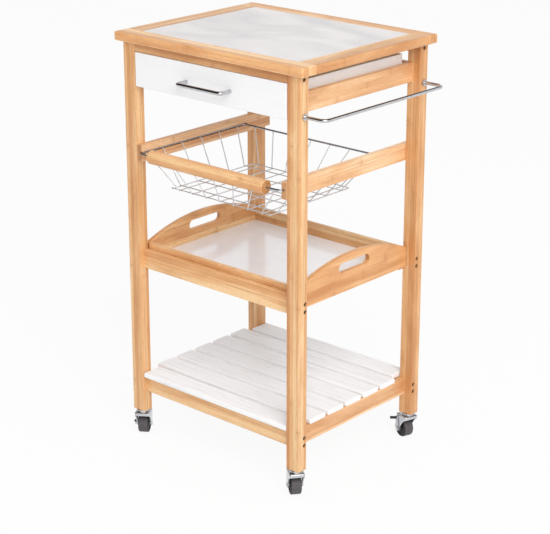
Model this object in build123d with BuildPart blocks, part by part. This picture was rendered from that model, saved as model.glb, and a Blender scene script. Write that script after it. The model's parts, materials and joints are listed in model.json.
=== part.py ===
# Bamboo kitchen cart: tiled worktop, drawer, pull-out wire basket, lift-out tray, slatted shelf, casters
from build123d import *
from math import cos, radians, sin
import os

os.makedirs("parts", exist_ok=True)

# Worktop
top_z = 880.0
board_over_x = 16.0
board_over_y = 11.0
board_t = 18.0
board_corner = 6.0
board_soft = 3.0
border_x = 43.0
border_y = 38.0
inlay_t = 6.0
inlay_gap = 0.3

# Frame
frame_w = 468.0
frame_d = 388.0
leg_w = 32.0
leg_d = 24.0
rail_t = 12.0
wood_soft = 1.5
top_rail_h = 18.0
rail_drop = 40.0
rail_h = 39.0
tray_rail_z = 384.0
tray_rail_h = 40.0
shelf_rail_z = 104.0
shelf_rail_h = 36.0

# Bolts through the legs into the rails, each in a cross nut
bolt_r = 2.5
bolt_clear = 0.2
bolt_head_r = 4.0
bolt_head_clear = 0.3
bolt_recess = 4.5
bolt_head_t = 3.0
bolt_pitch = 16.0
bolt_play = 1.0
nut_r = 4.0
nut_clear = 0.1
nut_inset = 22.0
nut_length = 10.0
bolt_past_nut = 3.0

# Drawer
drawer_gap = 1.0
front_t = 18.0
front_h = 70.0
box_t = 12.0
box_soft = 1.0
box_rear_gap = 16.0
box_lift = 5.0
box_h = 63.0
panel_t = 4.0
panel_lift = 5.0
panel_groove = 5.0
runner_t = 7.0
runner_h = 10.0
runner_lift = 18.0
runner_end_gap = 5.0
runner_play = 0.5
pull_span = 116.0
pull_reach = 28.0
pull_r = 4.0
pull_bend = 7.0
pull_drop = 3.0

# Basket guides and wire basket
guide_t = 14.0
guide_z = 618.0
guide_h = 35.0
groove_lift = 15.5
groove_play = 1.2
groove_depth = 8.0
groove_back = 74.0
rim_r = 2.0
rim_inset = 3.5
rim_back = 8.0
rim_bend = 14.0
wire_r = 1.1
wire_bend = 4.0
weld_step = 0.9
basket_depth = 69.1
basket_taper_x = 52.5
basket_taper_y = 38.0
basket_front = 29.0
side_wires = 5
end_wires = 7
grip_r = 14.0
grip_inset = 35.5
grip_out = 6.0
grip_bore = 12.0
grip_soft = 2.0
lip_back = 2.0
lip_drop = 3.0

# Tray
tray_gap = 2.0
tray_t = 12.0
tray_wall_t = 10.0
tray_rest = 0.3
ledge_w = 12.0
ledge_h = 7.7
tray_wall_h = 43.0
tray_arch_h = 34.0
hand_hole_l = 95.0
hand_hole_h = 20.0
hand_hole_lift = 51.0
hand_hole_soft = 2.0
tray_panel_t = 4.0
tray_panel_lift = 11.0
tray_panel_groove = 4.0

# Slatted shelf
slat_count = 7
slat_gap = 8.5
slat_inset = 0.5
slat_leg_gap = 1.0
slat_t = 11.0
slat_overhang = 2.0
slat_soft = 3.0

# Towel rail
towel_r = 3.5
towel_drop = 79.0
towel_reach = 50.0
towel_bend = 14.0
towel_socket = 8.0
ferrule_r = 6.5
ferrule_t = 4.0

# Casters
wheel_r = 20.0
wheel_w = 22.0
wheel_round = 3.0
wheel_top_gap = 11.2
tyre_t = 6.0
hub_boss_r = 5.7
hub_recess = 1.5
trail = 13.0
axle_r = 3.0
cup_r = 13.5
cup_t = 5.5
stem_r = 4.5
stem_h = 25.0
kingpin_r = 4.0
rivet_r = 6.0
rivet_t = 1.7
hood_t = 1.8
hood_crown_t = 3.0
hood_lead = 14.0
hood_gap = 3.2
hood_side_drop = 7.0
hood_tail = 7.0
hood_corner = 4.0
hood_soft = 2.5
hood_arch = 3.5
cheek_r = 5.5
fit = 0.05
stand_off = 0.3
trail_turns = {"front_left": 124.0, "front_right": 142.0, "rear_right": 161.0, "rear_left": 165.0}
lever_casters = {"front_left": 3.0, "rear_right": 81.0}
lever_length = 24.0
lever_w = 8.0
lever_t = 2.2
lever_head_r = 4.5
lever_head_t = 1.0
tab_length = 14.5
tab_w = 6.0
tab_t = 3.0
tab_slant = 45.0
tab_soft = 0.8

# Heights worked out from the sizes above
board_z = top_z - board_t
top_rail_z = board_z - top_rail_h
rail_bottom_z = board_z - rail_drop - rail_h
towel_z = board_z - towel_drop
front_z = (top_rail_z - drawer_gap - front_h, top_rail_z - drawer_gap)
pull_z = (front_z[0] + front_z[1]) / 2 - pull_drop
box_bottom_z = front_z[0] + box_lift
panel_z = box_bottom_z + panel_lift
runner_z = box_bottom_z + runner_lift
groove_z = guide_z + groove_lift
groove_h = 2 * rim_r + groove_play
rim_z = groove_z + groove_h / 2
lip_z = rim_z - grip_r - lip_drop
basket_floor_z = rim_z - basket_depth
tray_z = tray_rail_z + ledge_h + tray_rest
tray_wall_top = tray_z + tray_wall_h
tray_panel_z = tray_z + tray_panel_lift
slat_z = shelf_rail_z + shelf_rail_h
axle_z = wheel_r
crown_low_z = 2 * wheel_r + wheel_top_gap
crown_top_z = crown_low_z + hood_crown_t
rivet_z = crown_low_z - stand_off
leg_foot_z = crown_top_z + stand_off + cup_t
skirt_z = crown_top_z - hood_side_drop

# Places across and along, worked out the same way
board_w = frame_w + 2 * board_over_x
board_d = frame_d + 2 * board_over_y
leg_x = frame_w / 2 - leg_w / 2
leg_y = frame_d / 2 - leg_d / 2
inner_x = frame_w / 2 - leg_w
inner_y = frame_d / 2 - leg_d
front_y = -frame_d / 2
rail_y = inner_y + rail_t / 2
bolt_length = leg_w + nut_inset + bolt_past_nut
front_x = inner_x - drawer_gap
front_back_y = front_y + front_t
box_x = inner_x - 2 * drawer_gap
box_inner_x = box_x - box_t
box_back_y = inner_y - box_rear_gap
box_depth = box_back_y - front_back_y
runner_end_y = inner_y - runner_end_gap
groove_end_y = -front_y - groove_back
rim_x = inner_x - guide_t + rim_inset
rim_rear_y = groove_end_y - rim_back
drop_x = inner_x - guide_t - rim_inset
floor_half_w = drop_x - basket_taper_x
floor_front_y = front_y + basket_front
floor_rear_y = rim_rear_y - basket_taper_y
grip_y = front_y - grip_out
grip_end = rim_x - grip_inset
lip_y = grip_y + grip_r + lip_back
end_board_x = inner_x - tray_gap
tray_y = inner_y - tray_gap
wall_y = tray_y - tray_wall_t
slat_w = (frame_d - 2 * slat_inset - (slat_count - 1) * slat_gap) / slat_count
slat_pitch = slat_w + slat_gap
towel_out = frame_w / 2 + towel_reach
hood_in = wheel_w / 2 + hood_gap
hood_out = hood_in + hood_t
hood_w = hood_lead + trail + hood_tail

# The overall box, from the pressed lever's tab to the towel rail and from the pull to the worktop's rear
tab_turn = radians(trail_turns["front_left"])
tab_lift = radians(lever_casters["front_left"])
tab_lean = radians(tab_slant)
tab_x = trail + lever_length * cos(tab_lift) + tab_length * sin(tab_lean) * sin(tab_lift)
tab_y = hood_out + stand_off + lever_t / 2 + tab_length * cos(tab_lean)
tab_reach = leg_x - (tab_x + tab_w / 2) * cos(tab_turn) + tab_y * sin(tab_turn)
left_reach = max(board_w / 2, tab_reach)
right_reach = towel_out + towel_r
front_reach = -front_y + pull_reach + pull_r
cart_x = (left_reach - right_reach) / 2
cart_y = (front_reach - board_d / 2) / 2
corners = {"front_left": (-1, -1), "front_right": (1, -1), "rear_right": (1, 1), "rear_left": (-1, 1)}
sides = {"left": -1, "right": 1}
rows = {"front": -1, "rear": 1}


# Shared helpers
def at(x, y, z):
    """A point given from the cart's own middle, as a point in the part's frame."""
    return Vector(x + cart_x, y + cart_y, z)


def level(z):
    """A horizontal plane at a height, centred on the cart."""
    return Plane(at(0, 0, z))


def side_plane(x):
    """A plane facing +X, with +Y to its right and Z up."""
    return Plane(at(x, 0, 0), x_dir=(0, 1, 0), z_dir=(1, 0, 0))


def span(inner, outer, side):
    """The limits of a stretch on one side of the middle, low value first."""
    return tuple(sorted((inner * side, outer * side)))


def keep(name, made):
    """Labels a finished piece and writes it to its own file."""
    made.part.label = name
    export_step(made.part, f"parts/{name}.step")


def slab(x_span, y_span, z_span):
    """A plain block between two limits on each axis, drawn into the open part."""
    with BuildSketch(level(z_span[0])) as outline:
        with Locations(((x_span[0] + x_span[1]) / 2, (y_span[0] + y_span[1]) / 2)):
            Rectangle(x_span[1] - x_span[0], y_span[1] - y_span[0])
    extrude(outline.sketch, amount=z_span[1] - z_span[0])


def board(x_span, y_span, z_span, softened=wood_soft):
    """A board with all its edges softened."""
    with BuildPart() as made:
        slab(x_span, y_span, z_span)
        fillet(made.edges(), softened)
    return made


def cylinder(start, direction, radius, length, mode=Mode.SUBTRACT):
    """A round hole or pin from a point in the part's frame, in the open part."""
    with Locations(Plane(start, z_dir=direction)):
        Cylinder(radius, length, align=(Align.CENTER, Align.CENTER, Align.MIN), mode=mode)


def rod(points, radius, bend):
    """A round rod along a path with rounded corners, drawn into the open part."""
    with BuildLine() as path:
        FilletPolyline(*points, radius=bend)
    with BuildSketch(Plane(path.line @ 0, z_dir=path.line % 0)) as section:
        Circle(radius)
    sweep(section.sketch, path=path.line)


def bolt_rows():
    """Each bolt line as its Y distance and height: one in a top rail, two in each lower rail."""
    found = [(leg_y, top_rail_z + top_rail_h / 2)]
    for low, height in ((tray_rail_z, tray_rail_h), (shelf_rail_z, shelf_rail_h)):
        middle = low + height / 2
        found.append((rail_y, middle + bolt_pitch / 2))
        found.append((rail_y, middle - bolt_pitch / 2))
    return found


def bolt_places(side, row):
    """Where the bolts of one leg enter its outer face."""
    return [at(side * frame_w / 2, row * y, z) for y, z in bolt_rows()]


# Worktop border, a mitre-free frame: long members front and rear, short ones between them
with BuildPart() as border_blank:
    with BuildSketch(level(board_z)):
        RectangleRounded(board_w, board_d, board_corner)
    extrude(amount=board_t)
    fillet(border_blank.faces().filter_by(Axis.Z).edges(), board_soft)
    with BuildSketch(level(board_z)):
        Rectangle(board_w - 2 * border_x, board_d - 2 * border_y)
    extrude(amount=board_t, mode=Mode.SUBTRACT)


def border_member(centre, width, depth):
    """The part of the border that one member fills."""
    with BuildPart() as member:
        add(border_blank.part)
        with BuildSketch(level(board_z)):
            with Locations(centre):
                Rectangle(width, depth)
        extrude(amount=board_t, mode=Mode.INTERSECT)
    return member


for row_name, row in rows.items():
    member_y = row * (board_d - border_y) / 2
    keep(f"top_border_{row_name}", border_member((0, member_y), board_w, border_y))
for side_name, side in sides.items():
    member_x = side * (board_w - border_x) / 2
    keep(f"top_border_{side_name}", border_member((member_x, 0), border_x, board_d - 2 * border_y))

# Backing panel inside the border, and the pale tile inlay bedded on it
opening_x = board_w / 2 - border_x
opening_y = board_d / 2 - border_y
with BuildPart() as top_backing:
    slab((-opening_x, opening_x), (-opening_y, opening_y), (board_z, top_z - inlay_t))
keep("top_backing", top_backing)

tile_x = opening_x - inlay_gap
tile_y = opening_y - inlay_gap
with BuildPart() as top_inlay:
    slab((-tile_x, tile_x), (-tile_y, tile_y), (top_z - inlay_t, top_z))
    chamfer(top_inlay.faces().sort_by(Axis.Z)[-1].edges(), inlay_gap)
keep("top_inlay", top_inlay)


# Legs, with bolt holes on the outer face, a stem socket below and towel rail sockets on the right
def leg(side, row):
    """One leg between the worktop and its caster."""
    with BuildPart() as made:
        x_span = span(inner_x, frame_w / 2, side)
        y_span = span(inner_y, frame_d / 2, row)
        slab(x_span, y_span, (leg_foot_z, board_z))
        fillet(made.edges(), wood_soft)
        for place in bolt_places(side, row):
            cylinder(place, (-side, 0, 0), bolt_head_r + bolt_head_clear, bolt_recess)
            cylinder(place, (-side, 0, 0), bolt_r + bolt_clear, leg_w)
        cylinder(at(side * leg_x, row * leg_y, leg_foot_z), (0, 0, 1), stem_r + fit, stem_h + fit)
        if side > 0:
            socket = at(side * frame_w / 2, row * leg_y, towel_z)
            cylinder(socket, (-side, 0, 0), towel_r + fit, towel_socket)
    return made


for corner, (side, row) in corners.items():
    keep(f"{corner}_leg", leg(side, row))


# Cross rails between the left and right legs, bored for the bolts and their cross nuts
def bored_rail(row, y_span, z_span, holes):
    """A rail with a bolt hole in each end and a blind nut hole from its inner face across each bolt."""
    with BuildPart() as made:
        slab((-inner_x, inner_x), y_span, z_span)
        fillet(made.edges().filter_by(Axis.X), wood_soft)
        for side in sides.values():
            for y, z in holes:
                end = at(side * inner_x, row * y, z)
                cylinder(end, (-side, 0, 0), bolt_r + bolt_clear, bolt_length - leg_w)
                nut = at(side * (inner_x - nut_inset), row * inner_y, z)
                cylinder(nut, (0, row, 0), nut_r + nut_clear, y - inner_y + nut_length / 2)
    return made


for row_name, row in rows.items():
    top_span = span(inner_y, frame_d / 2, row)
    low_span = span(inner_y, inner_y + rail_t, row)
    tray_span = (tray_rail_z, tray_rail_z + tray_rail_h)
    shelf_span = (shelf_rail_z, shelf_rail_z + shelf_rail_h)
    keep(f"{row_name}_top_rail", bored_rail(row, top_span, (top_rail_z, board_z), bolt_rows()[:1]))
    keep(f"{row_name}_tray_rail", bored_rail(row, low_span, tray_span, bolt_rows()[1:3]))
    keep(f"{row_name}_shelf_rail", bored_rail(row, low_span, shelf_span, bolt_rows()[3:]))
    ledge_span = (tray_rail_z, tray_rail_z + ledge_h)
    ledge_y = span(inner_y - ledge_w, inner_y, row)
    keep(f"{row_name}_tray_ledge", board((-inner_x, inner_x), ledge_y, ledge_span, box_soft))

# Side rails and the rear rail round the drawer, and the shelf's side rails, glued between the legs
rail_span = (rail_bottom_z, rail_bottom_z + rail_h)
for side_name, side in sides.items():
    x_span = span(inner_x, inner_x + rail_t, side)
    with BuildPart() as side_rail:
        slab(x_span, (-inner_y, inner_y), rail_span)
        fillet(side_rail.edges().filter_by(Axis.Y), wood_soft)
    keep(f"{side_name}_side_rail", side_rail)
    with BuildPart() as shelf_side:
        slab(x_span, (-inner_y, inner_y), (shelf_rail_z, shelf_rail_z + shelf_rail_h))
        fillet(shelf_side.edges().filter_by(Axis.Y), wood_soft)
    keep(f"{side_name}_shelf_rail", shelf_side)
    keep(
        f"{side_name}_drawer_runner",
        board(
            span(inner_x - runner_t, inner_x, side),
            (-runner_end_y, runner_end_y),
            (runner_z, runner_z + runner_h),
            box_soft,
        ),
    )
with BuildPart() as rear_rail:
    slab((-inner_x, inner_x), (inner_y, inner_y + rail_t), rail_span)
    fillet(rear_rail.edges().filter_by(Axis.X), wood_soft)
keep("rear_drawer_rail", rear_rail)


# Basket guides on the legs' inner faces, each with a blind groove that opens at the front
def basket_guide(side):
    """A grooved guide board."""
    with BuildPart() as made:
        slab(span(inner_x - guide_t, inner_x, side), (front_y, -front_y), (guide_z, guide_z + guide_h))
        fillet(made.edges(), wood_soft)
        groove_x = span(inner_x - guide_t, inner_x - guide_t + groove_depth, side)
        with BuildSketch(level(groove_z)):
            with Locations((sum(groove_x) / 2, (front_y + groove_end_y) / 2)):
                Rectangle(groove_depth, groove_end_y - front_y)
        extrude(amount=groove_h, mode=Mode.SUBTRACT)
    return made


for side_name, side in sides.items():
    keep(f"{side_name}_basket_guide", basket_guide(side))

# Bolts with round heads sunk in the legs, and the cross nuts in the rails
with BuildPart() as frame_bolts:
    for side in sides.values():
        for row in rows.values():
            for place in bolt_places(side, row):
                seat = place - Vector(side * bolt_recess, 0, 0)
                cylinder(seat, (side, 0, 0), bolt_head_r, bolt_head_t, mode=Mode.ADD)
                cylinder(seat, (-side, 0, 0), bolt_r, bolt_length - bolt_recess - bolt_play, mode=Mode.ADD)
keep("frame_bolts", frame_bolts)

with BuildPart() as cross_nuts:
    for side in sides.values():
        for row in rows.values():
            for y, z in bolt_rows():
                nut_end = at(side * (inner_x - nut_inset), row * (y - nut_length / 2), z)
                cylinder(nut_end, (0, row, 0), nut_r, nut_length, mode=Mode.ADD)
                bolt_line = at(side * inner_x, row * y, z)
                cylinder(bolt_line, (-side, 0, 0), bolt_r, 2 * nut_inset)
keep("cross_nuts", cross_nuts)

# Slatted shelf: the first and last slat fit between the legs, the rest rest on the side rails
with BuildPart() as shelf_slats:
    for index in range(slat_count):
        slat_y = (index - (slat_count - 1) / 2) * slat_pitch
        at_legs = index in (0, slat_count - 1)
        half = inner_x - slat_leg_gap if at_legs else inner_x + rail_t + slat_overhang
        slab((-half, half), (slat_y - slat_w / 2, slat_y + slat_w / 2), (slat_z, slat_z + slat_t))
    fillet(shelf_slats.edges(), slat_soft)
keep("shelf_slats", shelf_slats)

# Towel rail: a bent chrome rod let into the two right legs, with a collar at each end
with BuildPart() as towel_rail:
    socket_x = frame_w / 2 - towel_socket
    rod(
        (
            at(socket_x, -leg_y, towel_z),
            at(towel_out, -leg_y, towel_z),
            at(towel_out, leg_y, towel_z),
            at(socket_x, leg_y, towel_z),
        ),
        towel_r,
        towel_bend,
    )
    for row in rows.values():
        cylinder(at(frame_w / 2, row * leg_y, towel_z), (1, 0, 0), ferrule_r, ferrule_t, mode=Mode.ADD)
keep("towel_rail", towel_rail)

# Drawer front, flush with the legs, and its box
with BuildPart() as drawer_front:
    slab((-front_x, front_x), (front_y, front_back_y), front_z)
    fillet(drawer_front.edges(), wood_soft)
    with BuildSketch(level(panel_z)):
        with Locations((0, front_back_y - panel_groove / 2)):
            Rectangle(2 * (box_x - box_t + panel_groove), panel_groove)
    extrude(amount=panel_t, mode=Mode.SUBTRACT)
keep("drawer_front", drawer_front)


def drawer_side(side):
    """A box side, grooved outside for its runner and inside for the bottom panel."""
    with BuildPart() as made:
        slab(
            span(box_x - box_t, box_x, side),
            (front_back_y, box_back_y),
            (box_bottom_z, box_bottom_z + box_h),
        )
        fillet(made.edges().filter_by(Axis.Y), box_soft)
        runner_groove = runner_t - (inner_x - box_x) + runner_play
        groove_span = span(box_x - runner_groove, box_x, side)
        with BuildSketch(level(runner_z - runner_play)):
            with Locations((sum(groove_span) / 2, (front_back_y + box_back_y) / 2)):
                Rectangle(runner_groove, box_depth)
        extrude(amount=runner_h + 2 * runner_play, mode=Mode.SUBTRACT)
        panel_span = span(box_x - box_t, box_x - box_t + panel_groove, side)
        with BuildSketch(level(panel_z)):
            with Locations((sum(panel_span) / 2, (front_back_y + box_back_y) / 2)):
                Rectangle(panel_groove, box_depth)
        extrude(amount=panel_t, mode=Mode.SUBTRACT)
    return made


for side_name, side in sides.items():
    keep(f"drawer_{side_name}_side", drawer_side(side))

with BuildPart() as drawer_back:
    slab(
        (-box_inner_x, box_inner_x),
        (box_back_y - box_t, box_back_y),
        (panel_z + panel_t, box_bottom_z + box_h),
    )
keep("drawer_back", drawer_back)

with BuildPart() as drawer_bottom:
    slab(
        (-box_inner_x - panel_groove, box_inner_x + panel_groove),
        (front_back_y - panel_groove, box_back_y),
        (panel_z, panel_z + panel_t),
    )
keep("drawer_bottom", drawer_bottom)

with BuildPart() as drawer_pull:
    rod(
        (
            at(-pull_span / 2, front_y, pull_z),
            at(-pull_span / 2, front_y - pull_reach, pull_z),
            at(pull_span / 2, front_y - pull_reach, pull_z),
            at(pull_span / 2, front_y, pull_z),
        ),
        pull_r,
        pull_bend,
    )
keep("drawer_pull", drawer_pull)

# Basket rim: one wire from end to end of the wooden grip, through both guide grooves
with BuildPart() as basket_rim:
    rod(
        (
            at(grip_bore - grip_end, grip_y, rim_z),
            at(-rim_x, grip_y, rim_z),
            at(-rim_x, rim_rear_y, rim_z),
            at(rim_x, rim_rear_y, rim_z),
            at(rim_x, grip_y, rim_z),
            at(grip_end - grip_bore, grip_y, rim_z),
        ),
        rim_r,
        rim_bend,
    )
keep("basket_rim", basket_rim)

with BuildPart() as basket_grip:
    cylinder(at(-grip_end, grip_y, rim_z), (1, 0, 0), grip_r, 2 * grip_end, mode=Mode.ADD)
    fillet(basket_grip.edges(), grip_soft)
    for side in sides.values():
        cylinder(at(side * grip_end, grip_y, rim_z), (-side, 0, 0), rim_r + fit, grip_bore + fit)
keep("basket_grip", basket_grip)


def even(low, high, count):
    """Evenly spaced places, ends left free by half a step."""
    step = (high - low) / count
    return [low + step * (index + 0.5) for index in range(count)]


# Basket floor: a ring of wire and a grid, the rows pressed into the lines below them
with BuildPart() as basket_floor:
    line_xs = [-floor_half_w, *even(-floor_half_w, floor_half_w, end_wires), floor_half_w]
    row_ys = [floor_front_y, *even(floor_front_y, floor_rear_y, side_wires), floor_rear_y]
    for x in line_xs:
        start = at(x, floor_front_y - wire_r, basket_floor_z - weld_step)
        cylinder(start, (0, 1, 0), wire_r, floor_rear_y - floor_front_y + 2 * wire_r, mode=Mode.ADD)
    for y in row_ys:
        start = at(-floor_half_w - wire_r, y, basket_floor_z + weld_step)
        cylinder(start, (1, 0, 0), wire_r, 2 * (floor_half_w + wire_r), mode=Mode.ADD)
keep("basket_floor", basket_floor)

# Basket walls: bent wires from the rim, or from the lip behind the grip, down to the floor
for side_name, side in sides.items():
    with BuildPart() as side_wall:
        tops = even(floor_front_y, rim_rear_y, side_wires)
        feet = even(floor_front_y, floor_rear_y, side_wires)
        for top_y, foot_y in zip(tops, feet):
            start = at(side * rim_x, top_y, rim_z)
            shoulder = at(side * drop_x, top_y, rim_z)
            rod((start, shoulder, at(side * floor_half_w, foot_y, basket_floor_z)), wire_r, wire_bend)
        add(basket_rim.part, mode=Mode.SUBTRACT)
        add(basket_floor.part, mode=Mode.SUBTRACT)
    keep(f"basket_{side_name}_wires", side_wall)


def wire(start, stop):
    """A straight wire between two points, drawn into the open part."""
    along = stop - start
    cylinder(start, along.normalized(), wire_r, along.length, mode=Mode.ADD)


tops = even(-drop_x, drop_x, end_wires)
feet = even(-floor_half_w, floor_half_w, end_wires)
with BuildPart() as rear_wall:
    for top_x, foot_x in zip(tops, feet):
        wire(at(top_x, rim_rear_y, rim_z), at(foot_x, floor_rear_y, basket_floor_z))
    add(basket_rim.part, mode=Mode.SUBTRACT)
    add(basket_floor.part, mode=Mode.SUBTRACT)
keep("basket_rear_wires", rear_wall)

with BuildPart() as front_wall:
    for top_x, foot_x in zip(tops, feet):
        wire(at(top_x, lip_y, lip_z), at(foot_x, floor_front_y, basket_floor_z))
    rod(
        (
            at(-rim_x, lip_y, rim_z),
            at(-drop_x, lip_y, rim_z),
            at(-drop_x, lip_y, lip_z),
            at(drop_x, lip_y, lip_z),
            at(drop_x, lip_y, rim_z),
            at(rim_x, lip_y, rim_z),
        ),
        wire_r,
        wire_bend,
    )
    add(basket_rim.part, mode=Mode.SUBTRACT)
    add(basket_floor.part, mode=Mode.SUBTRACT)
with BuildPart() as front_wires:
    add(front_wall.part.solids().sort_by(SortBy.VOLUME)[-1])
keep("basket_front_wires", front_wires)

# Tray end boards: an arched top and a slotted hand hole
for side_name, side in sides.items():
    with BuildPart() as end_board:
        with BuildSketch(side_plane(min(side * end_board_x, side * (end_board_x + tray_t)))):
            with BuildLine():
                rear_top = (tray_y, tray_wall_top)
                front_top = (-tray_y, tray_wall_top)
                Polyline(rear_top, (tray_y, tray_z), (-tray_y, tray_z), front_top)
                ThreePointArc(front_top, (0, tray_wall_top + tray_arch_h), rear_top)
            make_face()
            with Locations((0, tray_z + hand_hole_lift)):
                SlotOverall(hand_hole_l, hand_hole_h, mode=Mode.SUBTRACT)
        extrude(amount=tray_t)
        fillet(end_board.edges().filter_by(GeomType.CIRCLE), hand_hole_soft)
        groove_x = span(end_board_x, end_board_x + tray_panel_groove, side)
        with BuildSketch(level(tray_panel_z)):
            with Locations((sum(groove_x) / 2, 0)):
                Rectangle(tray_panel_groove, 2 * wall_y + 2 * tray_panel_groove)
        extrude(amount=tray_panel_t, mode=Mode.SUBTRACT)
    keep(f"tray_{side_name}_end", end_board)

for row_name, row in rows.items():
    with BuildPart() as tray_wall:
        slab((-end_board_x, end_board_x), span(wall_y, tray_y, row), (tray_z, tray_wall_top))
        fillet(tray_wall.edges().filter_by(Axis.X), wood_soft)
        groove_y = span(wall_y, wall_y + tray_panel_groove, row)
        with BuildSketch(level(tray_panel_z)):
            with Locations((0, sum(groove_y) / 2)):
                Rectangle(2 * end_board_x, tray_panel_groove)
        extrude(amount=tray_panel_t, mode=Mode.SUBTRACT)
    keep(f"tray_{row_name}_wall", tray_wall)

panel_x = end_board_x + tray_panel_groove
panel_y = wall_y + tray_panel_groove
with BuildPart() as tray_panel:
    slab((-panel_x, panel_x), (-panel_y, panel_y), (tray_panel_z, tray_panel_z + tray_panel_t))
keep("tray_panel", tray_panel)

# Caster stems: a socket stem in the leg, a bearing cup below it and a riveted kingpin
with BuildPart() as caster_stems:
    for side, row in corners.values():
        foot = at(side * leg_x, row * leg_y, leg_foot_z)
        cylinder(foot, (0, 0, 1), stem_r, stem_h, mode=Mode.ADD)
        cylinder(foot, (0, 0, -1), cup_r, cup_t, mode=Mode.ADD)
        cylinder(foot, (0, 0, -1), kingpin_r, leg_foot_z - rivet_z, mode=Mode.ADD)
        rivet_top = at(side * leg_x, row * leg_y, rivet_z)
        cylinder(rivet_top, (0, 0, -1), rivet_r, rivet_t, mode=Mode.ADD)
keep("caster_stems", caster_stems)


# Caster hoods, wheels and brake levers, each turned to its own trail
def caster_plane(corner):
    """The ground plane under a stem, with X along the trail."""
    side, row = corners[corner]
    turn = radians(trail_turns[corner])
    return Plane(at(side * leg_x, row * leg_y, 0), x_dir=(cos(turn), sin(turn), 0), z_dir=(0, 0, 1))


def rolling_plane(ground):
    """The upright plane through a wheel's middle, trail to its right and Z up."""
    return Plane(ground.origin, x_dir=ground.x_dir, z_dir=-ground.y_dir)


def hood(corner):
    """The chrome hood: a crown on the kingpin, a skirt in front, two cheeks and the axle."""
    ground = caster_plane(corner)
    lead_top = Vector(-hood_lead, skirt_z)
    lead_foot = Vector(trail - cheek_r, axle_z)
    tail_foot = Vector(trail + cheek_r, axle_z)
    lead_edge = lead_foot - lead_top
    bow = Vector(-lead_edge.Y, lead_edge.X).normalized() * hood_arch
    with BuildPart() as made:
        with BuildSketch(rolling_plane(ground)):
            with BuildLine():
                ThreePointArc(lead_foot, (lead_top + lead_foot) / 2 + bow, lead_top)
                Polyline(
                    lead_top,
                    (-hood_lead, crown_top_z),
                    (trail + hood_tail, crown_top_z),
                    (trail + hood_tail, skirt_z),
                    tail_foot,
                )
                ThreePointArc(tail_foot, (trail, axle_z - cheek_r), lead_foot)
            make_face()
        extrude(amount=hood_out, both=True)
        upright = made.edges().filter_by(Axis.Z)
        fillet(upright.sort_by(lambda edge: ground.to_local_coords(edge.center()).X)[:2], hood_corner)
        fillet(made.faces().sort_by(Axis.Z)[-1].edges(), hood_soft)
        with BuildSketch(ground):
            with Locations((hood_t - hood_lead + hood_w, 0)):
                RectangleRounded(2 * hood_w, 2 * hood_in, hood_corner - hood_t)
        extrude(amount=crown_low_z, mode=Mode.SUBTRACT)
        cylinder(ground.offset(crown_top_z).origin, (0, 0, -1), kingpin_r + fit, hood_crown_t)
        axle_length = 2 * hood_out
        if corner in lever_casters:
            axle_length += 2 * stand_off + lever_t
            head = ground.from_local_coords(Vector(trail, axle_length - hood_out, axle_z))
            cylinder(head, ground.y_dir, lever_head_r, lever_head_t, mode=Mode.ADD)
        axle_start = ground.from_local_coords(Vector(trail, -hood_out, axle_z))
        cylinder(axle_start, ground.y_dir, axle_r, axle_length, mode=Mode.ADD)
    return made


def wheel(corner):
    """A solid rubber-tyred wheel with a recessed hub on both sides."""
    ground = caster_plane(corner)
    with BuildPart() as made:
        start = ground.from_local_coords(Vector(trail, -wheel_w / 2, axle_z))
        cylinder(start, ground.y_dir, wheel_r, wheel_w, mode=Mode.ADD)
        fillet(made.edges(), wheel_round)
        for end in (-1, 1):
            hub = ground.from_local_coords(Vector(trail, end * wheel_w / 2, axle_z))
            cylinder(hub, ground.y_dir * -end, wheel_r - tyre_t, hub_recess)
            cylinder(hub, ground.y_dir * -end, hub_boss_r, hub_recess, mode=Mode.ADD)
        cylinder(start, ground.y_dir, axle_r + fit, wheel_w)
    return made


def lever(corner):
    """A brake lever on the axle's end: a flat arm beside the cheek and a slanted tab for the foot."""
    ground = caster_plane(corner)
    lift = radians(lever_casters[corner])
    slant = radians(tab_slant)
    along = ground.x_dir * cos(lift) + Vector(0, 0, sin(lift))
    pressed = ground.x_dir * sin(lift) - Vector(0, 0, cos(lift))
    outward = ground.y_dir * cos(slant) + pressed * sin(slant)
    pivot = ground.from_local_coords(Vector(trail, hood_out + stand_off, axle_z))
    tab_root = pivot + along * lever_length + ground.y_dir * (lever_t / 2)
    with BuildPart() as made:
        with BuildSketch(Plane(pivot, x_dir=along, z_dir=ground.y_dir)):
            with Locations((lever_length / 2, 0)):
                SlotCenterToCenter(lever_length, lever_w)
        extrude(amount=lever_t)
        with BuildSketch(Plane(tab_root, x_dir=along, z_dir=outward)):
            SlotOverall(tab_w, tab_t)
        extrude(amount=tab_length)
        tab_end = made.faces().sort_by_distance(tab_root + outward * tab_length)[0]
        fillet(tab_end.edges(), tab_soft)
        cylinder(pivot, ground.y_dir, axle_r + fit, lever_t)
    return made


for corner in corners:
    keep(f"{corner}_caster_hood", hood(corner))
    keep(f"{corner}_wheel", wheel(corner))
    if corner in lever_casters:
        keep(f"{corner}_brake_lever", lever(corner))
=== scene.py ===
import json
import math

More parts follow.
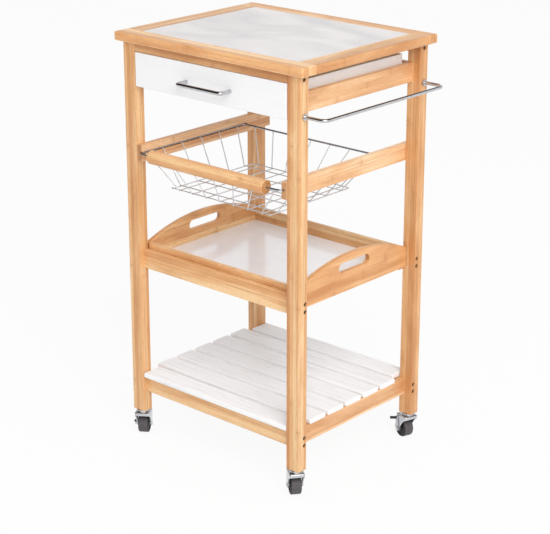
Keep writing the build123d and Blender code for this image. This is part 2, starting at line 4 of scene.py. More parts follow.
import bmesh
import bpy
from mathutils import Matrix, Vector


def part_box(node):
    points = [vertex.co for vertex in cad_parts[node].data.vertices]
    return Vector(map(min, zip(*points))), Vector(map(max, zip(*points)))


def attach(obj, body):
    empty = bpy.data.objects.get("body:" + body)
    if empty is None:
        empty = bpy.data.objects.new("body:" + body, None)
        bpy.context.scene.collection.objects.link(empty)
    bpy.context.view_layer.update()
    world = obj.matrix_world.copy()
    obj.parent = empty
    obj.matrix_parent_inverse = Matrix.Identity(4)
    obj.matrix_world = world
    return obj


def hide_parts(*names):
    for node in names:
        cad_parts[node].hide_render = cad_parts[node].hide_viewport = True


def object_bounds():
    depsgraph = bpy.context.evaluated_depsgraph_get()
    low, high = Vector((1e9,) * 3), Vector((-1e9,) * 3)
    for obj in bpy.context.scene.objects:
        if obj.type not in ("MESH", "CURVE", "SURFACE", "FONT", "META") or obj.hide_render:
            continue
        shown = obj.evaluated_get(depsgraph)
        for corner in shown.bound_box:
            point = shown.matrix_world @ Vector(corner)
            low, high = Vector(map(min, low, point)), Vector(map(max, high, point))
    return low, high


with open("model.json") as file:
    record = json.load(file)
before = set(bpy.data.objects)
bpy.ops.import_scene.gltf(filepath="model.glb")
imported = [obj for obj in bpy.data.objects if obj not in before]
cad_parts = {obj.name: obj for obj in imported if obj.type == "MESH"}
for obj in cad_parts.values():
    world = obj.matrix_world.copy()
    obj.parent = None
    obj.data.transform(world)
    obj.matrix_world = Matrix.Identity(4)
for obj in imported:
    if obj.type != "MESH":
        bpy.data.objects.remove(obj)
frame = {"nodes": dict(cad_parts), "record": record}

cad_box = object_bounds()
parts = frame["nodes"]
bpy.ops.object.select_all(action="DESELECT")


# Worktop border
# Four members of laminated bamboo, pressed from strips, planed, rounded over and lacquered satin.
# The front and rear members run full length, and the short ones are glued between them.
def seen(red, green, blue):
    """A colour as it looks on a screen, 0 to 255 each, turned into light."""
    def light(value):
        share = value / 255
        return share / 12.92 if share <= 0.04045 else ((share + 0.055) / 1.055) ** 2.4
    return (light(red), light(green), light(blue), 1.0)


def new_finish(name, **sockets):
    """A material with some of its shader's own sockets set, its node tree and its shader."""
    finish = bpy.data.materials.new(name)
    finish.use_nodes = True
    shader = finish.node_tree.nodes["Principled BSDF"]
    for socket, value in sockets.items():
        shader.inputs[socket.replace("_", " ")].default_value = value
    return finish, finish.node_tree, shader


def add(tree, kind, sockets=None, **fields):
    """One shader node, with its fields set and its sockets filled or linked."""
    made = tree.nodes.new("ShaderNode" + kind)
    for field, value in fields.items():
        setattr(made, field, value)
    for socket, value in (sockets or {}).items():
        if isinstance(value, bpy.types.NodeSocket):
            tree.links.new(value, made.inputs[socket])
        else:
            made.inputs[socket].default_value = value
    return made


def sums(tree, operation, first, second=0.0, third=0.0):
    """The result of one sum on numbers."""
    made = add(tree, "Math", {0: first, 1: second, 2: third}, operation=operation)
    return made.outputs[0]


def fade(tree, value, low, high, start=0.0, stop=1.0):
    """A value between two limits turned into a smooth share."""
    made = add(tree, "MapRange", {"Value": value}, interpolation_type="SMOOTHSTEP")
    limits = (("From Min", low), ("From Max", high), ("To Min", start), ("To Max", stop))
    for socket, limit in limits:
        made.inputs[socket].default_value = limit
    return made.outputs["Result"]


def bands(tree, factor, *stops):
    """A colour chosen along a row of stops, each a place and a colour."""
    made = add(tree, "ValToRGB", {"Fac": factor})
    ramp = made.color_ramp
    while len(ramp.elements) < len(stops):
        ramp.elements.new(0.5)
    for element, (place, colour) in zip(ramp.elements, stops):
        element.position = place
        element.color = colour
    return made.outputs["Color"]


def colour_mix(tree, factor, first, second, mode="MIX"):
    """Two colours mixed by a share."""
    made = tree.nodes.new("ShaderNodeMix")
    made.data_type = "RGBA"
    made.blend_type = mode
    for socket, value in ((0, factor), (6, first), (7, second)):
        if isinstance(value, bpy.types.NodeSocket):
            tree.links.new(value, made.inputs[socket])
        else:
            made.inputs[socket].default_value = value
    return made.outputs[2]


def on_piece(tree):
    """Places on the piece itself, in metres."""
    return add(tree, "TexCoord").outputs["Object"]


def noise(tree, place, scale, detail, **sockets):
    """A soft noise, as a share."""
    filled = {"Vector": place, "Scale": scale, "Detail": detail, **sockets}
    return add(tree, "TexNoise", filled).outputs["Fac"]


def relief(tree, shader, height, strength, depth):
    """A fine relief in the shading of a surface, its depth in metres."""
    bump = add(tree, "Bump", {"Height": height, "Strength": strength, "Distance": depth})
    tree.links.new(bump.outputs["Normal"], shader.inputs["Normal"])


turns = {"X": ("X", "Y", "Z"), "Y": ("Y", "X", "Z"), "Z": ("Z", "X", "Y")}


def grain_axes(tree, along):
    """Three places on the piece: along the grain, across it and up."""
    axes = add(tree, "SeparateXYZ", {0: on_piece(tree)}).outputs
    return [axes[axis] for axis in turns[along]]


def grained(tree, axes, along_scale, cross_scale):
    """Places stretched so that a noise on them runs along the grain."""
    length, across, up = axes
    return add(tree, "CombineXYZ", {
        "X": sums(tree, "MULTIPLY", length, along_scale),
        "Y": sums(tree, "MULTIPLY", across, cross_scale),
        "Z": sums(tree, "MULTIPLY", up, cross_scale),
    }).outputs[0]


def off_middle(tree, value):
    """How far a value lies from the middle of its step, from nothing to a half."""
    return sums(tree, "ABSOLUTE", sums(tree, "SUBTRACT", sums(tree, "FRACT", value), 0.5))


bamboo_pale = seen(247, 206, 154)
bamboo_honey = seen(233, 177, 120)
bamboo_tan = seen(204, 138, 82)
bamboo_joint = seen(150, 92, 46)
bamboo_end = seen(194, 136, 80)
fibre_scale = (5.0, 260.0)
cloud_scale = (7.0, 40.0)
vessel_scale = (70.0, 1300.0)
pore_scale = 1900.0
strip_spread = 0.62
cloud_spread = 1.1
tone_start = -0.38
joint_spacing = 0.26
joint_width = 0.0022
joint_wander = 0.004
joint_stagger = 7.3
joint_relief = 0.5
fibre_depth = 0.0004
no_tint = (1.0, 1.0, 1.0)


def bamboo(name, along, strip, start=(0.0, 0.0), tint=no_tint, end_share=0.75):
    """Laminated bamboo with its grain along one axis, in strips of a given width and height."""
    finish, tree, shader = new_finish(name, Coat_Weight=0.12, Coat_Roughness=0.3)
    axes = grain_axes(tree, along)
    length, across, up = axes
    column = sums(tree, "DIVIDE", sums(tree, "SUBTRACT", across, start[0]), strip[0])
    layer = sums(tree, "DIVIDE", sums(tree, "SUBTRACT", up, start[1]), strip[1])
    cell = add(tree, "CombineXYZ", {
        "X": sums(tree, "FLOOR", column),
        "Y": sums(tree, "FLOOR", layer),
        "Z": 3.7,
    }).outputs[0]
    own = add(tree, "TexWhiteNoise", {"Vector": cell}, noise_dimensions="3D").outputs["Value"]

    stretched = grained(tree, axes, *fibre_scale)
    shifted = add(tree, "VectorMath", {0: stretched, 1: cell}, operation="ADD").outputs[0]
    fibre = noise(tree, shifted, 1.0, 4.0, Roughness=0.6)
    cloud = noise(tree, grained(tree, axes, *cloud_scale), 1.0, 3.0, Distortion=0.6)
    vessel = noise(tree, grained(tree, axes, *vessel_scale), 1.0, 1.0)

    drift = sums(tree, "MULTIPLY_ADD", cloud, cloud_spread, tone_start)
    tone = sums(tree, "MULTIPLY_ADD", own, strip_spread, drift)
    colour = bands(tree, tone, (0.15, bamboo_pale), (0.5, bamboo_honey), (0.95, bamboo_tan))
    dark_fibre = fade(tree, fibre, 0.45, 0.7, 0.0, 0.62)
    colour = colour_mix(tree, dark_fibre, colour, bamboo_tan)
    open_vessel = fade(tree, vessel, 0.55, 0.72, 0.0, 0.3)
    colour = colour_mix(tree, open_vessel, colour, bamboo_joint)

    wave = sums(tree, "MULTIPLY_ADD", cloud, joint_wander, length)
    stagger = sums(tree, "MULTIPLY", own, joint_stagger)
    step = sums(tree, "ADD", sums(tree, "DIVIDE", wave, joint_spacing), stagger)
    off = sums(tree, "MULTIPLY", off_middle(tree, step), joint_spacing)
    marked = fade(tree, sums(tree, "FRACT", sums(tree, "MULTIPLY", own, 17.0)), 0.35, 0.75)
    line = sums(tree, "MULTIPLY", fade(tree, off, 0.0, joint_width, 1.0, 0.0), marked)
    halo = sums(tree, "MULTIPLY", fade(tree, off, 0.0, 7 * joint_width, 0.3, 0.0), marked)
    colour = colour_mix(tree, halo, colour, bamboo_tan)
    colour = colour_mix(tree, sums(tree, "MULTIPLY", line, 0.3), colour, bamboo_joint)
    seam = sums(tree, "MULTIPLY", fade(tree, off_middle(tree, column), 0.44, 0.5, 0.0, 0.6), own)
    colour = colour_mix(tree, seam, colour, bamboo_joint)

    normal = add(tree, "TexCoord").outputs["Normal"]
    facing = add(tree, "SeparateXYZ", {0: normal}).outputs[along]
    end = fade(tree, sums(tree, "ABSOLUTE", facing), 0.75, 0.95)
    pores = noise(tree, on_piece(tree), pore_scale, 1.0)
    end_colour = bands(tree, pores, (0.36, bamboo_joint), (0.56, bamboo_end))
    colour = colour_mix(tree, sums(tree, "MULTIPLY", end, end_share), colour, end_colour)
    # The tint multiplies the whole colour: a board's own tone, and on some rails painted shade or
    # light.
    colour = colour_mix(tree, 1.0, colour, (*tint, 1.0), "MULTIPLY")
    tree.links.new(colour, shader.inputs["Base Color"])
    tree.links.new(fade(tree, fibre, 0.3, 0.8, 0.36, 0.5), shader.inputs["Roughness"])
    relief(tree, shader, sums(tree, "MULTIPLY_ADD", line, joint_relief, fibre), 0.25, fibre_depth)
    return finish


def give(finish, *names):
    """Finishes CAD pieces with one material."""
    for name in names:
        for holder in parts[name].material_slots:
            holder.material = finish


long_strip = (0.0127, 0.018)
short_strip = (0.0143, 0.018)
long_tint = (1.13, 1.19, 1.27)
short_tint = (1.04, 1.1, 1.19)
give(bamboo("Bamboo across the worktop", "X", long_strip, tint=long_tint, end_share=0.25),
     "top_border_front", "top_border_rear")
give(bamboo("Bamboo down the worktop", "Y", short_strip, tint=short_tint),
     "top_border_left", "top_border_right")


# Worktop inlay
# A thin glazed slab, pale grey with faint soft veins, its arris broken all round.
# It is bedded on a plain chipboard inside the border.
vein_turn = (0.0, 0.0, 0.5)
vein_stretch = (4.0, 8.0, 4.0)
glaze_pale = seen(227, 222, 221)
glaze_middle = seen(220, 215, 215)
glaze_deep = seen(211, 207, 209)
glaze_vein = seen(198, 195, 198)
glaze, tree, shader = new_finish("Pale glazed slab", Coat_Weight=0.2, Coat_Roughness=0.12)
slanted = add(tree, "Mapping", {
    "Vector": on_piece(tree),
    "Rotation": vein_turn,
    "Scale": vein_stretch,
}).outputs[0]
drift = noise(tree, slanted, 1.3, 2.5, Roughness=0.45, Distortion=1.1)
ground = bands(tree, drift, (0.3, glaze_pale), (0.52, glaze_middle), (0.72, glaze_deep))
near_vein = sums(tree, "ABSOLUTE", sums(tree, "SUBTRACT", drift, 0.5))
vein = fade(tree, near_vein, 0.0, 0.02, 0.2, 0.0)
tree.links.new(colour_mix(tree, vein, ground, glaze_vein), shader.inputs["Base Color"])
tree.links.new(fade(tree, drift, 0.3, 0.7, 0.24, 0.34), shader.inputs["Roughness"])
give(glaze, "top_inlay")

chip_scale = 260.0
chip_dark = seen(196, 168, 128)
chip_pale = seen(222, 198, 158)
board, tree, shader = new_finish("Plain backing board", Roughness=0.7)
chips = add(tree, "TexVoronoi", {"Vector": on_piece(tree), "Scale": chip_scale}).outputs["Color"]
chip_tone = add(tree, "SeparateColor", {0: chips}).outputs["Red"]
chip_colour = bands(tree, chip_tone, (0.2, chip_dark), (0.8, chip_pale))
tree.links.new(chip_colour, shader.inputs["Base Color"])
give(board, "top_backing")


# Legs and rails
# Square-edged laminated bamboo, the legs in upright strips and the rails lengthways.
# The cross rails are bolted through the legs, and the side rails are glued between them.
leg_strip = (0.0082, 0.012)
leg_start = (0.190037, 0.1805)
leg_tint = (0.965, 0.975, 0.99)
give(bamboo("Bamboo upright", "Z", leg_strip, leg_start, leg_tint),
     "front_left_leg", "front_right_leg", "rear_right_leg", "rear_left_leg")

top_rail_strip = (0.012, 0.009)
rail_strip = (0.012, 0.0132)
rear_rail_strip = (0.0115, 0.0132)
# Painted shade: the top rails and the rear rails are darkened by a tenth, for the shade on them.
painted_shade_tint = (0.9, 0.9, 0.9)
# Painted light: the side rails, runners and right guide are made paler and brighter, for light on
# them.
side_painted_light_tint = (1.08, 1.19, 1.42)
# Painted shade: the left guide is darker and pinker than the other side rails, for the shade on
# it.
left_guide_painted_shade_tint = (0.94, 0.92, 0.98)
give(bamboo("Bamboo top rails in painted shade", "X", top_rail_strip, (0.0, 0.844), painted_shade_tint),
     "front_top_rail", "rear_top_rail")
give(bamboo("Bamboo cross rails", "X", rail_strip, (0.0, 0.384)),
     "front_tray_rail", "front_tray_ledge", "rear_tray_ledge", "front_shelf_rail")
give(bamboo("Bamboo rear rails in painted shade", "X", rear_rail_strip, (0.002, 0.384), painted_shade_tint),
     "rear_tray_rail", "rear_shelf_rail", "rear_drawer_rail")
give(bamboo("Bamboo side rails in painted light", "Y", rail_strip, (0.0, 0.783), side_painted_light_tint),
     "left_side_rail", "right_side_rail", "left_shelf_rail", "right_shelf_rail",
     "left_drawer_runner", "right_drawer_runner", "right_basket_guide")
give(bamboo("Bamboo left guide in painted shade", "Y", rail_strip, (0.0, 0.783), left_guide_painted_shade_tint),
     "left_basket_guide")


# Bolts
# Dark zinc-plated bolts with domed heads and hexagon sockets, turned and sunk in the legs.
# Each is pulled up on a cross nut in its rail.
def choose(piece, wanted):
    """Selects the points of a piece in edit mode that a test wants, and the faces between them."""
    mesh = bmesh.from_edit_mesh(piece.data)
    bpy.ops.mesh.select_all(action="DESELECT")
    for point in mesh.verts:
        if wanted(point.co):
            point.select = True
    mesh.select_flush(True)
    bmesh.update_edit_mesh(piece.data)


def turned(name, profile, sides=32):
    """A turned form along +Z, through rings of a radius and a height, left in edit mode."""
    bpy.ops.object.select_all(action="DESELECT")
    bpy.ops.mesh.primitive_circle_add(vertices=sides, radius=profile[0][0], fill_type="NGON")
    piece = bpy.context.object
    piece.name = piece.data.name = name
    bpy.ops.object.mode_set(mode="EDIT")
    bpy.ops.mesh.select_all(action="SELECT")
    bpy.ops.transform.translate(value=(0.0, 0.0, profile[0][1]))
    for (radius, height), (next_radius, next_height) in zip(profile, profile[1:]):
        rise = (0.0, 0.0, next_height - height)
        bpy.ops.mesh.extrude_region_move(TRANSFORM_OT_translate={"value": rise})
        share = next_radius / radius
        bpy.ops.transform.resize(value=(share, share, 1.0),
                                 center_override=(0.0, 0.0, next_height))
    return piece


def closed_up(piece, angle=35.0):
    """Ends the edit: faces turned outwards and rounded parts shaded smooth."""
    bpy.ops.mesh.select_all(action="SELECT")
    bpy.ops.mesh.remove_doubles(threshold=1e-6)
    bpy.ops.mesh.normals_make_consistent(inside=False)
    bpy.ops.object.mode_set(mode="OBJECT")
    bpy.ops.object.shade_smooth_by_angle(angle=math.radians(angle))
    return piece


def set_out(model, name, places):
    """One piece made of copies of a model, each at a place and pointing along a direction."""
    copies = []
    for place, direction in places:
        made = model.copy()
        made.data = model.data.copy()
        bpy.context.collection.objects.link(made)
        made.rotation_mode = "QUATERNION"
        made.rotation_quaternion = Vector(direction).to_track_quat("Z", "Y")
        made.location = place
        copies.append(made)
    bpy.data.objects.remove(model)
    bpy.ops.object.select_all(action="DESELECT")
    for made in copies:
        made.select_set(True)
    bpy.context.view_layer.objects.active = copies[0]
    bpy.ops.object.transform_apply(location=True, rotation=True, scale=True)
    if len(copies) > 1:
        bpy.ops.object.join()
    piece = bpy.context.object
    piece.name = piece.data.name = name
    return piece


def dress(piece, finish, body):
    """Gives a made piece its material and its body."""
    piece.data.materials.clear()
    piece.data.materials.append(finish)
    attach(piece, body)


zinc_dark = seen(92, 84, 74)
zinc_pale = seen(138, 128, 114)
dark_steel, tree, shader = new_finish("Dark plated steel", Metallic=1.0, Roughness=0.45)
stain = noise(tree, on_piece(tree), 180.0, 3.0)
zinc = bands(tree, stain, (0.35, zinc_dark), (0.7, zinc_pale))
tree.links.new(zinc, shader.inputs["Base Color"])
give(dark_steel, "cross_nuts")

bolt_sunk = 0.0045
bolt_pitch = 0.016
bolt_radius = 0.0025
bolt_length = 0.0515
head_radius = 0.004
head_top = 0.0028
socket_depth = 0.0017
socket_radius = 0.0017
bolt_profile = (
    (bolt_radius, -bolt_length), (bolt_radius, 0.0), (head_radius, 0.0), (head_radius, 0.0011),
    (0.0037, 0.0019), (0.0031, 0.0025), (0.0024, head_top),
)
bolt = turned("bolt", bolt_profile, 24)
bpy.ops.mesh.delete(type="ONLY_FACE")
bpy.ops.mesh.primitive_circle_add(vertices=6, radius=socket_radius, fill_type="NGON",
                                  location=(0.0, 0.0, head_top - socket_depth))
bpy.ops.mesh.extrude_region_move(TRANSFORM_OT_translate={"value": (0.0, 0.0, socket_depth)})
bpy.ops.mesh.delete(type="ONLY_FACE")
choose(bolt, lambda point: abs(point.z - head_top) < 1e-6)
bpy.ops.mesh.bridge_edge_loops()
closed_up(bolt)

bolt_places = []
for side, turn in (("left", -1.0), ("right", 1.0)):
    for row in ("front", "rear"):
        low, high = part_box(f"{row}_{side}_leg")
        outer_x = (high if turn > 0 else low).x - turn * bolt_sunk
        top_low, top_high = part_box(f"{row}_top_rail")
        spots = [((low.y + high.y) / 2, (top_low.z + top_high.z) / 2)]
        for rail in ("tray_rail", "shelf_rail"):
            rail_low, rail_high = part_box(f"{row}_{rail}")
            rail_y = (rail_low.y + rail_high.y) / 2
            rail_z = (rail_low.z + rail_high.z) / 2
            spots += [(rail_y, rail_z - bolt_pitch / 2), (rail_y, rail_z + bolt_pitch / 2)]
        bolt_places += [((outer_x, y, z), (turn, 0.0, 0.0)) for y, z in spots]
bolts = set_out(bolt, "socket_head_bolts", bolt_places)
dress(bolts, dark_steel, "frame")
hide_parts("frame_bolts")


# Slatted shelf
# Seven soft wood slats, rounded along their edges and brushed.
# They are painted thin white, so the grain shows.
brush_scale = (9.0, 330.0)
brush_depth = 0.0004


def white_paint(name, along, grain, base):
    """White paint on wood, with its grain along one axis and its tone as pale as the base."""
    finish, tree, shader = new_finish(name, Coat_Weight=0.1, Coat_Roughness=0.35)
    brushed = grained(tree, grain_axes(tree, along), *brush_scale)
    streak = noise(tree, brushed, 1.0, 5.0, Roughness=0.7)
    usual = base - 1 - 2 * grain
    worn = base - 2 - 41 * grain
    colour = bands(tree, streak, (0.3, seen(base, base, base + 1)),
                   (0.52, seen(usual, usual, usual + 1)), (0.78, seen(worn, worn - 1, worn)))
    tree.links.new(colour, shader.inputs["Base Color"])
    tree.links.new(fade(tree, streak, 0.3, 0.8, 0.4, 0.6), shader.inputs["Roughness"])
    relief(tree, shader, streak, 0.5 * grain + 0.05, brush_depth)
    return finish


slat_grain = 1.0
slat_white = 253
give(white_paint("White painted slats", "X", slat_grain, slat_white), "shelf_slats")


# Drawer
# A board front and a plain box, all painted white and smooth.
# The front's paint is a little greyer than the box's.
smooth_grain = 0.04
front_white = 246
box_white = 251
give(white_paint("White painted front", "X", smooth_grain, front_white), "drawer_front")
give(white_paint("White painted box", "Y", smooth_grain, box_white),
     "drawer_back", "drawer_bottom", "drawer_left_side", "drawer_right_side")


# Bright metal
# The drawer pull, the towel rail and the basket, bent from steel rod and wire and plated bright.
# The basket's wires are duller and paler than its rim.
def plate(name, pale, dark, roughness):
    """Bright plating with a little unevenness in its shine."""
    finish, tree, shader = new_finish(name, Metallic=1.0)
    haze = noise(tree, on_piece(tree), 70.0, 3.0)
    tree.links.new(bands(tree, haze, (0.3, pale), (0.75, dark)), shader.inputs["Base Color"])
    uneven = fade(tree, haze, 0.3, 0.7, roughness * 0.8, roughness * 1.3)
    tree.links.new(uneven, shader.inputs["Roughness"])
    return finish


rod_pale = seen(206, 207, 210)
rod_dark = seen(190, 191, 195)
wire_pale = seen(238, 239, 242)
wire_dark = seen(220, 222, 226)
rim_pale = seen(172, 174, 180)
rim_dark = seen(148, 150, 156)
give(plate("Bright plated rod", rod_pale, rod_dark, 0.14), "drawer_pull", "towel_rail")
give(plate("Bright plated wire", wire_pale, wire_dark, 0.42),
     "basket_floor", "basket_left_wires", "basket_right_wires", "basket_rear_wires",
     "basket_front_wires")
give(plate("Bright plated rim", rim_pale, rim_dark, 0.18), "basket_rim")


# Basket grip
# A turned bamboo bar with eased ends.
# It is bored for the two ends of the rim wire.
grip_strip = (0.009, 0.009)
give(bamboo("Bamboo turned grip", "X", grip_strip, (0.0, 0.6121)), "basket_grip")


# Tray
# Bamboo walls, the two ends arched and slotted for the hands.
# They hold a gloss white panel in their grooves.
tray_end_strip = (0.012, 0.019)
tray_front_strip = (0.012, 0.0145)
tray_rear_strip = (0.0115, 0.0145)
# Painted shade: the tray's rear wall is darkened, for the shade on its face.
tray_rear_painted_shade_tint = (0.84, 0.84, 0.84)
give(bamboo("Bamboo tray ends", "Y", tray_end_strip, (0.0, 0.382)),
     "tray_left_end", "tray_right_end")
give(bamboo("Bamboo tray front", "X", tray_front_strip, (0.0, 0.392)), "tray_front_wall")
give(bamboo("Bamboo tray rear in painted shade", "X", tray_rear_strip, (0.001, 0.392), tray_rear_painted_shade_tint),
     "tray_rear_wall")

panel_pale = seen(246, 247, 250)
panel_deep = seen(242, 243, 247)
gloss, tree, shader = new_finish("Gloss white panel", Roughness=0.2, Coat_Weight=0.4,
                                 Coat_Roughness=0.08)
ripple = noise(tree, on_piece(tree), 26.0, 2.0)
panel_colour = bands(tree, ripple, (0.3, panel_pale), (0.7, panel_deep))
tree.links.new(panel_colour, shader.inputs["Base Color"])
relief(tree, shader, ripple, 0.08, 0.0005)
give(gloss, "tray_panel")


# Caster stems
# A plated stem in each leg, with a bearing cup of two beaded races.
# Its kingpin is riveted over below.
cup_plate = plate("Bright plated cup", seen(214, 215, 218), seen(196, 197, 201), 0.22)
rivet_end = ((0.0028, 0.0492), (0.0048, 0.0496), (0.0058, 0.0502), (0.006, 0.0509))
kingpin = ((0.004, 0.0509), (0.004, 0.0545))
lower_bead = ((0.0122, 0.0545), (0.0129, 0.0549), (0.0132, 0.0556), (0.0129, 0.0563),
              (0.0121, 0.0567))
upper_bead = ((0.0121, 0.0571), (0.0131, 0.0575), (0.0135, 0.0582), (0.0135, 0.0594),
              (0.0132, 0.06))
stem = ((0.0045, 0.06), (0.0045, 0.0842), (0.0037, 0.085))
stem_profile = rivet_end + kingpin + lower_bead + upper_bead + stem
casters = ("front_left", "front_right", "rear_right", "rear_left")
joints = {joint["name"]: joint for joint in frame["record"]["behaviour"]["joints"]}
stem_places = []
for corner in casters:
    over = joints[f"{corner}_swivel"]["pos_m"]
    stem_places.append(((over[0], over[1], 0.0), (0.0, 0.0, 1.0)))
stems = set_out(closed_up(turned("stem", stem_profile), 30.0), "beaded_caster_stems", stem_places)
dress(stems, cup_plate, "frame")
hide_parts("caster_stems")


# Caster hoods
# A pressed and plated hood swivels on each stem, with its axle riveted over outside each cheek.
# Where a brake lever sits on the axle's end, there is no rivet head on that side.
hood_plate = plate("Bright plated hood", seen(214, 215, 218), seen(192, 193, 198), 0.26)
hood_half = 0.016
rivet_profile = ((0.0042, -0.0002), (0.0042, 0.0003), (0.0039, 0.0008), (0.0031, 0.0012),
                 (0.0018, 0.0014))
levers = ("front_left", "rear_right")
for corner in casters:
    give(hood_plate, f"{corner}_caster_hood")
    axle = Vector(joints[f"{corner}_roll"]["axis"])
    hub = Vector(joints[f"{corner}_roll"]["pos_m"])
    ways = (-1.0,) if corner in levers else (-1.0, 1.0)
    ends = [(hub + axle * way * hood_half, axle * way) for way in ways]
    rivet = closed_up(turned("rivet", rivet_profile, 24), 30.0)
    heads = set_out(rivet, f"{corner}_axle_rivets", ends)
    dress(heads, hood_plate, f"{corner}_caster")


# Wheels
# A black moulded hub and a tyre of softer rubber, its tread rubbed grey by the floor.
# Each turns on a steel bush.
def from_axle(tree, corner, place):
    """Each point as seen from a wheel's hub, and how far out it lies along the axle."""
    axle = joints[f"{corner}_roll"]["axis"]
    hub = joints[f"{corner}_roll"]["pos_m"]
    away = add(tree, "VectorMath", {0: place, 1: hub}, operation="SUBTRACT").outputs[0]
    along = add(tree, "VectorMath", {0: away, 1: axle}, operation="DOT_PRODUCT").outputs["Value"]
    return away, along


tread_dark = seen(66, 62, 65)
tread_pale = seen(102, 98, 100)
side_dark = seen(24, 23, 24)
side_pale = seen(44, 42, 43)
bush_steel = seen(150, 150, 152)
tread_from = 0.0165
tread_full = 0.019
bush_inner = 0.0041
bush_outer = 0.0043


def wheel_finish(corner):
    """Rubber that is grey on the tread and black on the sides, measured from its own axle."""
    finish, tree, shader = new_finish(f"Black rubber {corner}", Roughness=0.62)
    source = add(tree, "TexCoord").outputs
    away, along = from_axle(tree, corner, source["Object"])
    reach = add(tree, "VectorMath", {0: away}, operation="LENGTH").outputs["Value"]
    radius = sums(tree, "SQRT", sums(tree, "SUBTRACT", sums(tree, "MULTIPLY", reach, reach),
                                     sums(tree, "MULTIPLY", along, along)))
    axle = joints[f"{corner}_roll"]["axis"]
    facing = add(tree, "VectorMath", {0: source["Normal"], 1: axle}, operation="DOT_PRODUCT")
    side = fade(tree, sums(tree, "ABSOLUTE", facing.outputs["Value"]), 0.25, 0.8)
    scuff = noise(tree, source["Object"], 900.0, 5.0)
    tread = bands(tree, scuff, (0.35, tread_dark), (0.7, tread_pale))
    black = bands(tree, scuff, (0.35, side_dark), (0.7, side_pale))
    outside = fade(tree, radius, tread_from, tread_full)
    worn = sums(tree, "MULTIPLY", outside, sums(tree, "SUBTRACT", 1.0, side))
    bush = fade(tree, radius, bush_inner, bush_outer, 1.0, 0.0)
    colour = colour_mix(tree, bush, colour_mix(tree, worn, black, tread), bush_steel)
    tree.links.new(colour, shader.inputs["Base Color"])
    tree.links.new(bush, shader.inputs["Metallic"])
    relief(tree, shader, scuff, 0.3, 0.0003)
    return finish


for corner in casters:
    give(wheel_finish(corner), f"{corner}_wheel")


# Brake levers
# A plated steel arm on the end of the axle of two casters.
# Its outer end is a black moulded tab for the foot.
tab_from = 0.01855
tab_full = 0.01865
tab_dark = seen(24, 24, 25)
tab_pale = seen(40, 40, 41)


def lever_finish(corner):
    """Plated steel beside the cheek, and black plastic from there outwards."""
    finish, tree, shader = new_finish(f"Brake lever {corner}", Roughness=0.3)
    place = on_piece(tree)
    along = from_axle(tree, corner, place)[1]
    outside = fade(tree, along, tab_from, tab_full)
    mould = noise(tree, place, 700.0, 2.0)
    black = bands(tree, mould, (0.3, tab_dark), (0.7, tab_pale))
    steel = bands(tree, mould, (0.3, rod_pale), (0.7, rod_dark))
    tree.links.new(colour_mix(tree, outside, steel, black), shader.inputs["Base Color"])
    tree.links.new(sums(tree, "SUBTRACT", 1.0, outside), shader.inputs["Metallic"])
    relief(tree, shader, mould, 0.15, 0.0002)
    return finish


for corner in levers:
    give(lever_finish(corner), f"{corner}_brake_lever")


# Floor
# A pale studio floor and the world round it, both white to the camera and in the plating.
# Towards one side and overhead the plating sees dark, as it would in a studio.
floor_size = 12.0
floor_glow = 0.9
bpy.ops.mesh.primitive_plane_add(size=floor_size, location=(0.0, 0.0, 0.0))
floor = bpy.context.object
floor.name = "studio_floor"
floor_finish = bpy.data.materials.new("Pale floor")
floor_finish.use_nodes = True
tree = floor_finish.node_tree
tree.nodes.clear()
matt = add(tree, "BsdfDiffuse", {"Color": seen(244, 244, 244)}).outputs[0]
glow = add(tree, "Emission", {"Color": (1.0, 1.0, 1.0, 1.0), "Strength": 1.0}).outputs[0]
rays = add(tree, "LightPath").outputs
reflected = sums(tree, "MAXIMUM", rays["Is Glossy Ray"], rays["Is Transmission Ray"])
shown = sums(tree, "MAXIMUM", rays["Is Camera Ray"], reflected)
share = sums(tree, "MULTIPLY", shown, floor_glow)
lit = add(tree, "MixShader", {0: share, 1: matt, 2: glow}).outputs[0]
add(tree, "OutputMaterial", {"Surface": lit})
floor.data.materials.append(floor_finish)

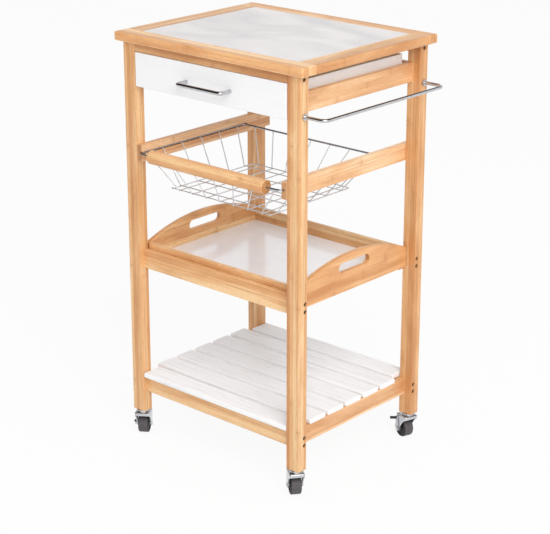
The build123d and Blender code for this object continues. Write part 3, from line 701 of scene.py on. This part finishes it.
fill = 0.68
dark_side = (-0.67, -0.74, 0.0)
dark_share = 0.06
overhead_share = 0.05
world = bpy.data.worlds.new("Studio")
bpy.context.scene.world = world
world.use_nodes = True
tree = world.node_tree
tree.nodes.clear()
rays = add(tree, "LightPath").outputs
outwards = add(tree, "TexCoord").outputs["Generated"]
height = add(tree, "SeparateXYZ", {0: outwards}).outputs["Z"]
ahead = add(tree, "VectorMath", {0: outwards, 1: dark_side}, operation="DOT_PRODUCT")
direct = sums(tree, "MAXIMUM", rays["Is Camera Ray"], rays["Is Transmission Ray"])
plain = add(tree, "MapRange", {"Value": direct, "To Min": fill, "To Max": 1.0}).outputs["Result"]
above = fade(tree, height, 0.34, 0.62, 1.0, overhead_share)
aside = fade(tree, ahead.outputs["Value"], 0.35, 0.7, 1.0, dark_share)
mirrored = sums(tree, "MULTIPLY", above, aside)
apart = sums(tree, "SUBTRACT", mirrored, plain)
strength = sums(tree, "MULTIPLY_ADD", rays["Is Glossy Ray"], apart, plain)
sky = add(tree, "Background", {"Color": (1.0, 1.0, 1.0, 1.0), "Strength": strength}).outputs[0]
add(tree, "OutputWorld", {"Surface": sky})


# Light
# One large soft box to the right, high and a little forward.
# The pale world fills in the rest.
lamp_place = Vector((4.1, -2.7, 4.3))
lamp_size = 4.0
lamp_power = 235.0
middle = (cad_box[0] + cad_box[1]) / 2
bpy.ops.object.light_add(type="AREA", location=lamp_place)
lamp = bpy.context.object
lamp.name = "main_light"
lamp.data.shape = "SQUARE"
lamp.data.size = lamp_size
lamp.data.energy = lamp_power
lamp.rotation_euler = (middle - lamp_place).to_track_quat("-Z", "Y").to_euler()


# Camera
# A long lens above and to the right of the front, without roll.
# Its small shift only frames the cart.
camera_place = (2.1932, -2.4620, 1.5754)
turn_round = math.radians(41.737)
look_down = math.radians(18.851)
back = Vector((
    math.sin(turn_round) * math.cos(look_down),
    -math.cos(turn_round) * math.cos(look_down),
    math.sin(look_down),
))
bpy.ops.object.camera_add(location=camera_place)
camera = bpy.context.object
camera.rotation_mode = "QUATERNION"
camera.rotation_quaternion = (-back).to_track_quat("-Z", "Y")
camera.data.sensor_width = 36.0
camera.data.lens = 110.761
camera.data.shift_y = -0.049
bpy.context.scene.camera = camera
bpy.context.scene.view_settings.view_transform = "Standard"
